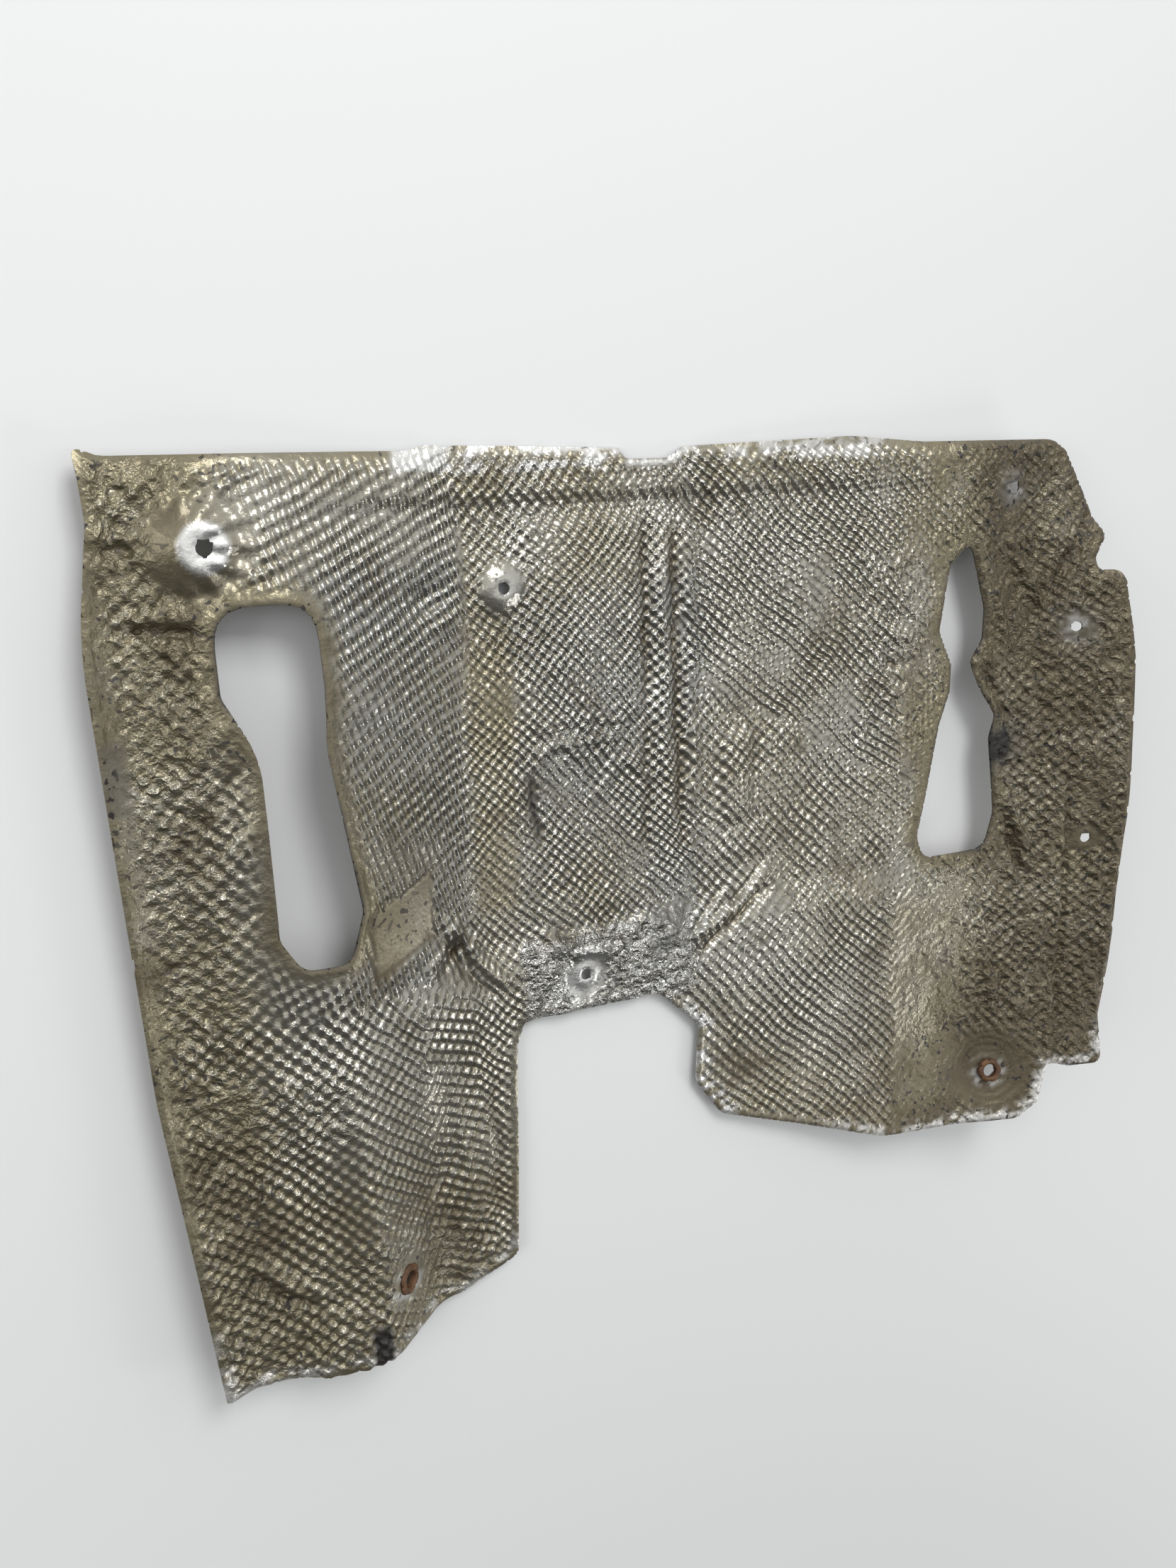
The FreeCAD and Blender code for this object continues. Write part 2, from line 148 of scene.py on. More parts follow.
# The sunk pad by the slot is a zone whose top and foot lean, level at its middle.
WINDOW_PAD, PAD_LEAN, PAD_MIDDLE = (-133.0, -103.0, -80.0, -46.0, 5.0), 0.55, -118.0
PAD_DEPTH = 1.2
# Heights of raised and sunk zones, and crinkle of creased ones.
RAISED = {"thumb": 3.0, "thumb_foot": 1.6, "panel": 1.7, "recess": -1.1}
CREASED = {"ledge": 0.9, "leg_crease": 1.0, "leg_end": 0.6, "vent_side": 0.5, "panel_foot": 0.7}
# Domes and dents: x, y, radius and height.
DENTS = (
    (44.0, -96.0, 9.0, 7.0), (58.0, -98.0, 7.0, -3.0),
    (-95.0, 106.0, 9.0, -3.6), (-86.0, 98.0, 7.0, 2.0),
)
PLEATS_AT, ARCS_AT = (-213.0, 139.0), (-168.0, -312.0)
# Lift of the face over the channel floor, and how far below z 0 a dent may reach.
LIFT, DENT_LIMIT = 1.7, 0.6
# Holes of the back are larger by this much.
BACK_GROW = 1.0
# Soot and painted shade: x, y, radius and share of soot spots; radii round holes; thin lines as folds whose
# height is the share, the second of them painted shade in a groove.
SOOT_SPOTS = ((318.0, -24.0, 10.0, 1.1), (326.0, -24.0, 24.0, 0.55))
SOOT_HOLES, SOOT_HOLE_SHARE = {"upper_right": 11.0, "wing_upper": 13.0, "toe": 9.0, "leg": 9.0}, 0.55
SOOT_AND_SHADE_LINES = ((108, 175, 157, 150, 1.3, 0.75), (-42, 12, -36, -34, 1.7, 1.0))
# Dark of soot and specks, also used as painted shade.
SOOT_AND_SHADE_COLOUR = (0.012, 0.010, 0.008, 1.0)
PIT_COLOUR = (0.03, 0.018, 0.01, 1.0)

# Emboss patterns: two crossed waves, each with its cycles per mesh cell along x and y and its weight.
PATTERNS = {
    "crate": ((1 / 4, 1 / 4, 0.5), (1 / 4, -1 / 4, 0.5)),
    "wide": ((1 / 5, 1 / 5, 0.5), (1 / 5, -1 / 5, 0.5)),
    "rows": ((1 / 5, 1 / 4, 0.6), (1 / 4, -1 / 5, 0.4)),
    "slant": ((1 / 3, 1 / 9, 0.6), (-1 / 8, 1 / 4, 0.4)),
    "steep": ((1 / 4, -1 / 8, 0.6), (1 / 8, 1 / 4, 0.4)),
}

# Stage, in metres and watts. Lamps: name, place, size and power.
LAMPS = (
    ("key", (0.1, 1.4, 1.5), 0.8, 22.0),
    ("fill", (1.5, -1.1, 1.0), 0.6, 7.0),
    ("side", (-1.6, 0.3, 1.0), 0.7, 8.0),
)
FLOOR_HALF, FLOOR_ROUGHNESS = 4.0, 0.6
# The world brightens along one direction, between two heights on it.
GLOW_WAY, GLOW_FROM, GLOW_TO = (0.15, 0.78, 0.60), (0.10, 0.07), (0.58, 0.95)
LENS, SENSOR = 27.03, 36.0
CAMERA_TURN = ((0.8735, 0.1477, -0.4638), (-0.0272, 0.9662, 0.2564), (0.4860, -0.2113, 0.8480))


class ShieldSettings(bpy.types.PropertyGroup):
    """Sizes and colours of the shield and its stage."""

    cell: bpy.props.FloatProperty(
        name="Cell", description="Spacing of the sheet's mesh in mm", default=1.68, min=0.8)
    back_cell: bpy.props.FloatProperty(
        name="Back cell", description="Spacing of the mesh of the back in mm", default=3.0, min=2.0)
    thickness: bpy.props.FloatProperty(
        name="Thickness", description="Sheet thickness in mm", default=1.0, min=0.3)
    emboss: bpy.props.FloatProperty(
        name="Emboss", description="Height of the emboss in mm", default=0.85, min=0.0)
    crumple: bpy.props.FloatProperty(
        name="Crumple", description="Height of the crinkles in mm", default=2.0, min=0.0)
    silver: bpy.props.FloatVectorProperty(
        name="Silver", description="Bare aluminium", subtype="COLOR", default=(0.45, 0.445, 0.405))
    # Painted shade: a darker copy of the silver, laid on the rib's flank that faces away from the lamps and
    # on the channel.
    painted_shade: bpy.props.FloatVectorProperty(
        name="Cool", description="Bluish aluminium of the rib's flank", subtype="COLOR",
        default=(0.33, 0.335, 0.325))
    # Bright rubbed aluminium, also painted as glints on the ledge.
    bare_and_glint: bpy.props.FloatVectorProperty(
        name="Bare", description="Rubbed bright aluminium", subtype="COLOR", default=(0.72, 0.72, 0.70))
    tan: bpy.props.FloatVectorProperty(
        name="Tan", description="Baked dirt", subtype="COLOR", default=(0.215, 0.19, 0.125))
    # Dark brown of the dirt, also the colour of painted shade in grooves and along the openings' rims.
    brown_and_shade: bpy.props.FloatVectorProperty(
        name="Brown", description="Heavy brown dirt", subtype="COLOR", default=(0.105, 0.086, 0.054))
    rust: bpy.props.FloatVectorProperty(
        name="Rust", description="Rust of the eyelets", subtype="COLOR", default=(0.085, 0.042, 0.02))
    floor: bpy.props.FloatVectorProperty(
        name="Floor", description="Floor colour", subtype="COLOR", default=(0.66, 0.67, 0.67))


class Sock:
    """Shader value whose operators make math nodes."""

    def __init__(self, tree, socket):
        self.tree = tree
        self.socket = socket

    def make(self, kind, inputs, out=0, **props):
        """New node with its properties and inputs set; returns one of its outputs."""
        node = self.tree.nodes.new(kind)
        for key, value in props.items():
            setattr(node, key, value)
        for key, value in inputs.items():
            if isinstance(value, Sock):
                self.tree.links.new(value.socket, node.inputs[key])
            else:
                node.inputs[key].default_value = value
        return Sock(self.tree, node.outputs[out])

    def math(self, operation, *values, clamp=False):
        """Math node; with no values given it works on this one."""
        inputs = dict(enumerate(values or (self,)))
        return self.make("ShaderNodeMath", inputs, operation=operation, use_clamp=clamp)

    def __add__(self, other):
        return self.math("ADD", self, other)

    def __radd__(self, other):
        return self.math("ADD", other, self)

    def __sub__(self, other):
        return self.math("SUBTRACT", self, other)

    def __rsub__(self, other):
        return self.math("SUBTRACT", other, self)

    def __mul__(self, other):
        return self.math("MULTIPLY", self, other)

    def __rmul__(self, other):
        return self.math("MULTIPLY", other, self)

    def clamp(self):
        return self.math("ADD", self, 0.0, clamp=True)

    def band(self, low, high):
        """0 below low, 1 above high, straight between."""
        return self.make("ShaderNodeMapRange", {0: self, 1: low, 2: high, 3: 0.0, 4: 1.0})

    def mix(self, a, b):
        """Colour a where this value is 0 and b where it is 1."""
        return self.make("ShaderNodeMix", {0: self, 6: a, 7: b}, out=2, data_type="RGBA")

    def noise(self, scale, detail=3.0):
        return self.make("ShaderNodeTexNoise", {"Vector": self, "Scale": scale, "Detail": detail})

    def attribute(self, name):
        return self.make("ShaderNodeAttribute", {}, out=2, attribute_name=name)


def new_material(name):
    """Material with one surface shader; returns it, its shader node and its Object coordinates."""
    material = bpy.data.materials.new(name)
    material.use_nodes = True
    tree = material.node_tree
    shader = next(n for n in tree.nodes if n.type == "BSDF_PRINCIPLED")
    place = Sock(tree, None).make("ShaderNodeTexCoord", {}, out=3)
    return material, shader, place


def feed(shader, **values):
    """Link or set the shader's inputs by name, with underscores for spaces."""
    for key, value in values.items():
        socket = shader.inputs[key.replace("_", " ")]
        if isinstance(value, Sock):
            value.tree.links.new(value.socket, socket)
        else:
            socket.default_value = value


def rgba(colour):
    """Colour with full alpha."""
    return (*colour, 1.0)


def pressed(place, cell):
    """Emboss in the shader: the crossed waves of the mesh, made to wander and uneven by noise."""
    ex = place.attribute("ex") + 3.0 * (place.noise(105.0, 1.0) - 0.5)
    ey = place.attribute("ey") + 3.0 * (place.noise(118.0, 1.0) - 0.5)
    turn = 2.0 * math.pi / cell
    press = 0.0
    for name, waves in PATTERNS.items():
        form = 0.0
        for kx, ky, weight in waves:
            form = form + weight * (ex * (turn * kx) + ey * (turn * ky)).math("COSINE")
        press = press + place.attribute(name) * form
    return press * (0.35 + 1.3 * place.noise(140.0, 2.0))


def sheet_material(settings):
    """Aluminium that runs from silver to tan and brown with the dirt attribute, with soot and specks, painted
    shade in the emboss's hollows, grooves, rims and flank, and painted glints on the ledge.
    """
    material, shader, place = new_material("shield_sheet")
    dirt = place.attribute("dirt")
    brown_and_shade = place.attribute("brown_and_shade")
    soot_and_shade = place.attribute("soot_and_shade")
    painted_shade = place.attribute("painted_shade")
    bare_and_glint = place.attribute("bare_and_glint")
    press = pressed(place, settings.cell)
    # Painted shade: the hollows of the emboss are darkened towards tan and brown, on top of the dirt.
    hollow_shade = (0.45 - 0.75 * press).clamp()
    ridge = 1.0 - (2.0 * place.noise(105.0, 4.0) - 1.0).math("ABSOLUTE") * 3.0
    ridge = ridge.clamp() * place.attribute("rough")
    cloud = place.noise(38.0, 4.0)
    grain = place.noise(520.0, 3.0)
    speck = place.noise(270.0, 1.0).band(0.62, 0.66) * place.noise(45.0, 2.0).band(0.40, 0.55)
    stain_and_shade = (dirt * (0.35 + 0.9 * cloud) + hollow_shade * 0.55 + (grain - 0.5) * 0.6 * dirt).clamp()
    heavy_and_shade = (brown_and_shade * (0.3 + 1.0 * cloud) + hollow_shade * (0.12 + 0.6 * brown_and_shade)).clamp()
    # The silver turns to the darker painted shade on the flank and the channel.
    metal = painted_shade.mix(rgba(settings.silver), rgba(settings.painted_shade))
    colour = stain_and_shade.mix(metal, rgba(settings.tan))
    colour = heavy_and_shade.mix(colour, rgba(settings.brown_and_shade))
    colour = bare_and_glint.mix(colour, rgba(settings.bare_and_glint))
    # Soot and specks, and painted shade along the rims, in a groove and by the dome.
    dark = (soot_and_shade * (0.7 + 0.6 * cloud) + speck * (0.45 + 0.5 * dirt)).clamp()
    colour = dark.mix(colour, SOOT_AND_SHADE_COLOUR)
    grey = (0.97 - 0.27 * stain_and_shade - 0.14 * heavy_and_shade - dark).clamp()
    rough = (0.21 + 0.13 * stain_and_shade + 0.08 * heavy_and_shade + 0.25 * dark + 0.12 * (grain - 0.5)).clamp()
    height = press * (0.85 * settings.emboss) + ridge * 0.9 + grain * 0.12
    bump = place.make("ShaderNodeBump", {"Strength": 1.0, "Distance": 0.001, "Height": height})
    feed(shader, Base_Color=colour, Metallic=grey, Roughness=rough, Normal=bump)
    return material


def rust_material(settings):
    """Rust-brown steel with lighter rubbed spots."""
    material, shader, place = new_material("eyelet_steel")
    cloud = place.noise(180.0, 4.0)
    grain = place.noise(900.0, 2.0)
    light = tuple(min(1.0, 1.7 * c) for c in settings.rust)
    colour = cloud.band(0.42, 0.66).mix(rgba(settings.rust), rgba(light))
    colour = grain.band(0.6, 0.75).mix(colour, PIT_COLOUR)
    bump = place.make("ShaderNodeBump", {"Strength": 0.5, "Distance": 0.0006, "Height": grain})
    feed(shader, Base_Color=colour, Metallic=0.35, Roughness=0.62, Normal=bump)
    return material


def ramp(t, a, b):
    """Straight step from 0 at a to 1 at b, for arrays."""
    return np.clip((t - a) / (b - a), 0.0, 1.0)


def ease(t, a, b):
    """Smooth step from 0 at a to 1 at b, for arrays."""
    s = ramp(t, a, b)
    return s * s * (3.0 - 2.0 * s)


def mix(a, b, share):
    """a where the share is 0 and b where it is 1."""
    return a + (b - a) * share


def soft(t, w):
    """0 to the left of -w, t to the right of w, a parabola between."""
    return np.where(t < -w, 0.0, np.where(t > w, t, (t + w) ** 2 / (4.0 * w)))


def from_hole(name, x, y):
    """Distance from the middle of a named hole."""
    return np.hypot(x - HOLES[name][0], y - HOLES[name][1])


def base_height(x, y):
    """Pressed form: a chain of straight flats joined by parabolic bends, with cones for the seats."""
    leg = ramp(y, *LEG_Y)
    rim = RIM_DROP * ramp(y, *RIM_Y)
    shelf = mix(SHELF, SHELF_LEG, leg) - rim
    crest = mix(CREST, CREST_TOP, ramp(y, *CREST_Y)) - rim
    floor = LEDGE_RISE * ramp(y, *LEDGE_Y) - rim + HEAD_RISE * ramp(y, *HEAD_Y)
    turn_x = mix(TURN_X, TURN_X_LEG, leg)
    turn = RISE_SLOPE * (turn_x - RISE_X) + TOE_RISE * ramp(y, *TOE_Y) - rim
    wing = WING_SLOPE * mix(1.0, WING_LEG, leg) * mix(1.0, WING_TOP, ramp(y, *WING_Y))
    bow = np.maximum(BOW_TOP - y, 0.0) / BOW_LENGTH
    strip_x = STRIP_X + BOW_IN * bow * bow + STRIP_W
    # Bends from left to right: x, height and half width.
    bends = (
        (strip_x, shelf, 3.0),
        (strip_x + mix(10.0, 18.0, leg), shelf, 4.0),
        (-166.0 - 0.055 * y, crest, mix(12.0, 4.0, leg)),
        (mix(-75.0, -112.0, leg), floor, 9.0),
        (RISE_X, floor, 10.0),
        (turn_x, turn, 12.0),
    )
    slopes = [STRIP_SLOPE]
    for (x0, z0, _), (x1, z1, _) in zip(bends, bends[1:]):
        slopes.append((z1 - z0) / (x1 - x0))
    slopes.append(RISE_SLOPE + wing)
    z = shelf + slopes[0] * (x - strip_x)
    for (bend_x, _, half), before, after in zip(bends, slopes, slopes[1:]):
        z = z + (after - before) * soft(x - bend_x, half)
    for name, (height, flat_r, foot_r, drop) in SEATS.items():
        r = from_hole(name, x, y)
        cone = height - soft(r - flat_r, 2.0) * drop / (foot_r - flat_r)
        z = np.where(r < foot_r, np.maximum(z, cone), z)
    return z


def rounded(points, steps=7):
    """Closed plan line through (x, y, radius) corners, each cut by an arc of that radius."""
    line = []
    count = len(points)
    for i, (x, y, r) in enumerate(points):
        p = np.array([x, y], float)
        a = np.array(points[i - 1][:2], float) - p
        b = np.array(points[(i + 1) % count][:2], float) - p
        room = 0.45 * min(np.hypot(*a), np.hypot(*b))
        a /= np.hypot(*a)
        b /= np.hypot(*b)
        half = math.acos(np.clip(a @ b, -1.0, 1.0)) / 2.0
        cut = min(r / math.tan(half), room) if half < 1.55 else 0.0
        t = np.linspace(0.0, 1.0, steps)[:, None]
        line.append((p + a * cut) * (1 - t) ** 2 + p * 2 * t * (1 - t) + (p + b * cut) * t ** 2)
    return np.concatenate(line)


def nearest_on(line, x, y):
    """Signed distance to a closed line (positive inside) and the nearest point on it, for arrays."""
    best = np.full(x.shape, 1e9)
    px, py = x.copy(), y.copy()
    inside = np.zeros(x.shape, bool)
    for (ax, ay), (bx, by) in zip(line, np.roll(line, -1, axis=0)):
        dx, dy = bx - ax, by - ay
        size = dx * dx + dy * dy
        if size < 1e-9:
            continue
        t = np.clip(((x - ax) * dx + (y - ay) * dy) / size, 0.0, 1.0)
        qx, qy = ax + t * dx, ay + t * dy
        d = (x - qx) ** 2 + (y - qy) ** 2
        near = d < best
        best = np.where(near, d, best)
        px = np.where(near, qx, px)
        py = np.where(near, qy, py)
        if dy != 0.0:
            inside ^= ((ay > y) != (by > y)) & (x < ax + dx * (y - ay) / dy)
    return np.where(inside, 1.0, -1.0) * np.sqrt(best), px, py


def plan_grid(cell, grow=0.0):
    """Square grid over the plan, cut at the outline, the openings and the holes.

    A cell stays when its middle is on the sheet, and corners near a cut edge move onto it. The holes
    are cut larger by grow. Returns x, y, the quads and the distances to the openings and to any edge.
    """
    xs = np.arange(-262.0, 380.0, cell)
    ys = np.arange(-300.0, 187.0, cell)
    x, y = (a.ravel() for a in np.meshgrid(xs, ys))
    edge, px, py = nearest_on(rounded(OUTLINE), x, y)
    gap = np.full(x.shape, 1e9)
    for shape in (SLOT, VENT):
        d, qx, qy = nearest_on(rounded(shape), x, y)
        gap = np.minimum(gap, -d)
        px, py = np.where(-d < edge, qx, px), np.where(-d < edge, qy, py)
        edge = np.minimum(edge, -d)
    for hx, hy, radius, _ in HOLES.values():
        hr = radius + grow
        r = np.maximum(np.hypot(x - hx, y - hy), 1e-6)
        d = r - hr
        px = np.where(d < edge, hx + (x - hx) * hr / r, px)
        py = np.where(d < edge, hy + (y - hy) * hr / r, py)
        edge = np.minimum(edge, d)
    cols = len(xs)
    first = (np.arange(len(ys) - 1)[:, None] * cols + np.arange(cols - 1)).ravel()
    quads = np.stack([first, first + 1, first + cols + 1, first + cols], axis=1)
    quads = quads[edge[quads].mean(axis=1) > 0.0]
    used, quads = np.unique(quads, return_inverse=True)
    quads = quads.reshape(-1, 4)
    move = edge[used] < 0.4 * cell
    x = np.where(move, px[used], x[used])
    y = np.where(move, py[used], y[used])
    return x, y, quads, gap[used], np.maximum(edge[used], 0.0)


def lattice(i, j, seed):
    """Repeatable value from -1 to 1 for each lattice point."""
    v = np.sin(i * 127.1 + j * 311.7 + seed * 74.7) * 43758.5453
    return 2.0 * (v - np.floor(v)) - 1.0


def noise(x, y, scale, seed):
    """Smooth noise from -1 to 1 with the given feature size."""
    u, v = x / scale, y / scale
    i, j = np.floor(u), np.floor(v)
    s, t = ease(u - i, 0.0, 1.0), ease(v - j, 0.0, 1.0)
    low = mix(lattice(i, j, seed), lattice(i + 1, j, seed), s)
    high = mix(lattice(i, j + 1, seed), lattice(i + 1, j + 1, seed), s)
    return mix(low, high, t)


def crinkle(x, y, scale, seed):
    """Sharp-ridged foil crinkle: folds where bent noise crosses zero, in two sizes."""
    u = x + 0.5 * scale * noise(x, y, 1.7 * scale, seed + 3)
    v = y + 0.5 * scale * noise(x, y, 1.7 * scale, seed + 4)
    big = 0.5 - np.abs(noise(u, v, scale, seed))
    small = 0.5 - np.abs(noise(u, v, 0.55 * scale, seed + 1))
    return big + 0.45 * small


def fold(x, y, x0, y0, x1, y1, width, height):
    """Ridge or groove with a bell section along a line, fading to its ends."""
    dx, dy = x1 - x0, y1 - y0
    size = math.hypot(dx, dy)
    t = ((x - x0) * dx + (y - y0) * dy) / size
    d = ((x - x0) * dy - (y - y0) * dx) / size
    d = d + 0.35 * width * np.sin(t / (2.6 * width))
    ends = ease(t, -2.0, 0.25 * size) * (1.0 - ease(t, 0.75 * size, size + 2.0))
    return height * ends * np.exp(-(d / width) ** 2)


def pad(x, y, x0, x1, y0, y1, side):
    """1 on a rectangle, falling to 0 over the side width beyond it."""
    return (ease(x, x0 - side, x0) * (1 - ease(x, x1, x1 + side))
            * ease(y, y0 - side, y0) * (1 - ease(y, y1, y1 + side)))


def spot(x, y, cx, cy, r):
    """Bell of radius r."""
    return np.exp(-((x - cx) ** 2 + (y - cy) ** 2) / (r * r))


def laid(x, y, z):
    """Sheet points as they fall on the flat lay-out of the marks, which is drawn from one eye point."""
    k = 1.0 / (1.0 - z / EYE[2])
    return EYE[0] + (x - EYE[0]) * k, EYE[1] + (y - EYE[1]) * k


def zone(name, u, v):
    """Share of a named zone of the laid plan."""
    return pad(u, v, *ZONES[name])


def window_pad(u, v):
    """Share of the smooth sunk pad by the slot."""
    return pad(u, v - PAD_LEAN * (u - PAD_MIDDLE), *WINDOW_PAD)


def strip_share(u, v):
    """1 on the folded strip along the left edge."""
    start = 0.02 * (60.0 - v) - 248.0
    return 1.0 - ease(u, start, start + 8.0)


def wander(x, y, u, v):
    """Coordinates of the emboss: the plan, bent a little so that the rows wander."""
    ex = x + 3.2 * noise(u, v, 62.0, 61) + 0.9 * noise(u, v, 21.0, 62)
    ey = y + 3.2 * noise(u, v, 66.0, 63) + 0.9 * noise(u, v, 23.0, 64)
    return ex, ey


def plain_share(x, y, u, v, gap, edge):
    """0 where the sheet is left smooth (rims, seats, pads, strip, ledge) and 1 where it is embossed."""
    share = ease(gap, 4.0, 11.0) * ease(edge, 2.0, 7.0)
    share = share * (1.0 - window_pad(u, v)) * (1.0 - 0.85 * zone("toe_flat", u, v))
    for name, (*_, calm) in HOLES.items():
        share = share * ease(from_hole(name, x, y), 0.8 * calm, 1.3 * calm)
    return share * (1.0 - 0.75 * strip_share(u, v)) * (1.0 - 0.8 * zone("ledge", u, v))


def emboss_shares(x, y, u, v, gap, edge):
    """Share of each emboss pattern at each point, by areas whose borders wander."""
    jig = 7.0 * noise(u, v, 40.0, 11)
    left = 1.0 - ease(u + jig, -84.0, -74.0)
    panel = 1.0 - ease(u + jig, -196.0, -186.0)
    leg = 1.0 - ease(v + jig, -112.0, -96.0)
    inner = ease(u + jig, -120.0, -104.0)
    right = ease(u + jig, 56.0, 66.0)
    upper = ease(v + 0.55 * (u - 130.0) + jig, 10.0, 26.0)
    brim = ease(u + jig, 222.0, 240.0)
    high = ease(v, 0.0, 60.0)
    shares = {
        "crate": (1.0 - left) * (1.0 - right),
        "slant": left * (1.0 - leg) * (1.0 - panel),
        "wide": (0.55 * left * (1.0 - leg) * panel + 1.15 * left * leg * (1.0 - inner)
                 + 0.95 * right * (1.0 - brim) * (1.0 - upper) + 0.75 * brim * (1.0 - high)),
        "steep": 1.15 * left * leg * inner,
        "rows": 1.15 * right * (1.0 - brim) * upper + 0.75 * brim * high,
    }
    scale = plain_share(x, y, u, v, gap, edge) * (0.78 + 0.5 * noise(u, v, 26.0, 21))
    return {name: share * scale for name, share in shares.items()}


def emboss(ex, ey, shares, cell):
    """Pressed pattern, -1 to 1: the sum of two crossed waves for each pattern, by its share."""
    turn = 2.0 * math.pi / cell
    out = 0.0
    for name, share in shares.items():
        for kx, ky, weight in PATTERNS[name]:
            out = out + share * weight * np.cos(turn * (kx * ex + ky * ey))
    return out


def rough_share(x, y, u, v, edge):
    """How crinkled the sheet is, 0 to 1.2: the two sides and the creased zones, calm at rims and holes."""
    left = (1.0 - ease(u, -214.0, -190.0)) * (1.0 - 0.75 * strip_share(u, v))
    right = ease(u, 232.0, 300.0) * (1.0 - 0.55 * zone("toe_flat", u, v))
    rough = 0.10 + 0.9 * left + 1.1 * right
    for name, share in CREASED.items():
        rough = rough + share * zone(name, u, v)
    rough = np.minimum(rough, 1.2) * ease(edge, 0.0, 4.0)
    for name, (*_, calm) in HOLES.items():
        rough = rough * ease(from_hole(name, x, y), 0.8 * calm, 1.6 * calm)
    return rough * (1.0 - window_pad(u, v))


def foil_share(x, y, u, v, edge):
    """How strongly fine foil creases show: everywhere but on the smooth pad, and most on the ledge."""
    ledge = zone("ledge", u, v) * ease(from_hole("ledge", x, y), 10.0, 17.0)
    return rough_share(x, y, u, v, edge) + 0.22 * (1.0 - window_pad(u, v)) + 0.9 * ledge


def pleats(u, v):
    """Pleats round the upper left seat: a cosine of the angle between two radii."""
    du, dv = u - PLEATS_AT[0], v - PLEATS_AT[1]
    r, angle = np.hypot(du, dv), np.arctan2(dv, du)
    ring = ease(r, 15.0, 20.0) * (1.0 - ease(r, 28.0, 44.0))
    return 0.9 * np.cos(15.0 * angle + 0.6 * np.sin(3.0 * angle)) * ring


def seat_rings(x, y):
    """Rim and groove of the upper left seat, as bells, and the dish round the toe's eyelet, with a cosine."""
    r = from_hole("upper_left", x, y)
    rings = 0.9 * np.exp(-((r - 9.0) / 1.8) ** 2) - 0.8 * np.exp(-((r - 14.0) / 2.2) ** 2)
    r = from_hole("toe", x, y)
    ripples = 0.35 * np.cos(1.3 * r) * ease(r, 11.0, 14.0) * (1.0 - ease(r, 26.0, 32.0))
    return rings + ripples - 2.4 * (1.0 - ease(r, 12.0, 30.0))


def leg_arcs(u, v):
    """Arcs at the foot of the left leg: a raised cosine of the radius, between two sides."""
    r = np.hypot(u - ARCS_AT[0], v - ARCS_AT[1])
    share = ease(r, 8.0, 12.0) * (1.0 - ease(r, 30.0, 38.0))
    share = share * ease(u, -192.0, -182.0) * (1.0 - ease(u, -146.0, -138.0))
    return share * (1.6 + 0.9 * np.cos(0.9 * r))


def relief(x, y, u, v, edge, settings):
    """Height in mm beaten into the sheet: the sum of folds, crinkles, waves, pads, dents and rings."""
    out = 0.8 * noise(u, v, 55.0, 41) + 0.35 * noise(u, v, 24.0, 42)
    for row in FOLDS:
        out = out + FOLD_GAIN * fold(u, v, *row)
    across = crinkle(0.8 * u + 0.6 * v, 0.45 * (0.8 * v - 0.6 * u), 17.0, 35)
    rough = settings.crumple * rough_share(x, y, u, v, edge)
    out = out + rough * (crinkle(u, v, 10.0, 31) + 0.6 * across)
    for name, height in RAISED.items():
        out = out + height * zone(name, u, v)
    for cx, cy, radius, height in DENTS:
        out = out + height * spot(u, v, cx, cy, radius)
    ledge = zone("ledge", u, v) * ease(from_hole("ledge", x, y), 11.0, 17.0)
    out = out + 1.8 * ledge * crinkle(u, v, 6.5, 37) - PAD_DEPTH * window_pad(u, v)
    hem = 0.7 * np.exp(-((edge - 2.2) / 1.6) ** 2)
    return out + pleats(u, v) + seat_rings(x, y) + leg_arcs(u, v) + hem


def lifted(z, out):
    """Relief raised where the sheet lies on the floor, so that no dent passes below its back."""
    return np.maximum(out + LIFT * (1.0 - ease(z, 1.0, 7.0)), -z - DENT_LIMIT)


def dirty_sides(u, v):
    """Clouds of the dirt, and the shares of the left side, the right side and the low ends."""
    cloud = noise(u, v, 34.0, 51) + 0.5 * noise(u, v, 14.0, 52)
    left = 1.0 - ease(u + 10.0 * cloud, -218.0, -176.0)
    right = ease(u + 14.0 * cloud, 196.0, 300.0)
    low = 1.0 - ease(v + 12.0 * cloud + 0.12 * u, -250.0, -120.0)
    return cloud, left, right, low


def dirt_share(u, v, gap, edge):
    """Baked dirt: the sum of the sides, the low ends, the rib's foot, the top, the rims and the sunk pad."""
    cloud, left, right, low = dirty_sides(u, v)
    top = ease(v + 6.0 * cloud, 150.0, 172.0)
    dirt = 0.22 + 0.10 * cloud + 0.62 * (left + right) + 0.42 * low
    dirt = dirt + 0.38 * zone("rib_foot", u, v) + 0.35 * top + 0.4 * window_pad(u, v)
    dirt = dirt + 0.45 * (1.0 - ease(gap, 3.0, 16.0)) + 0.22 * (1.0 - ease(edge, 1.0, 7.0))
    return dirt + 0.25 * noise(u, v, 60.0, 58)


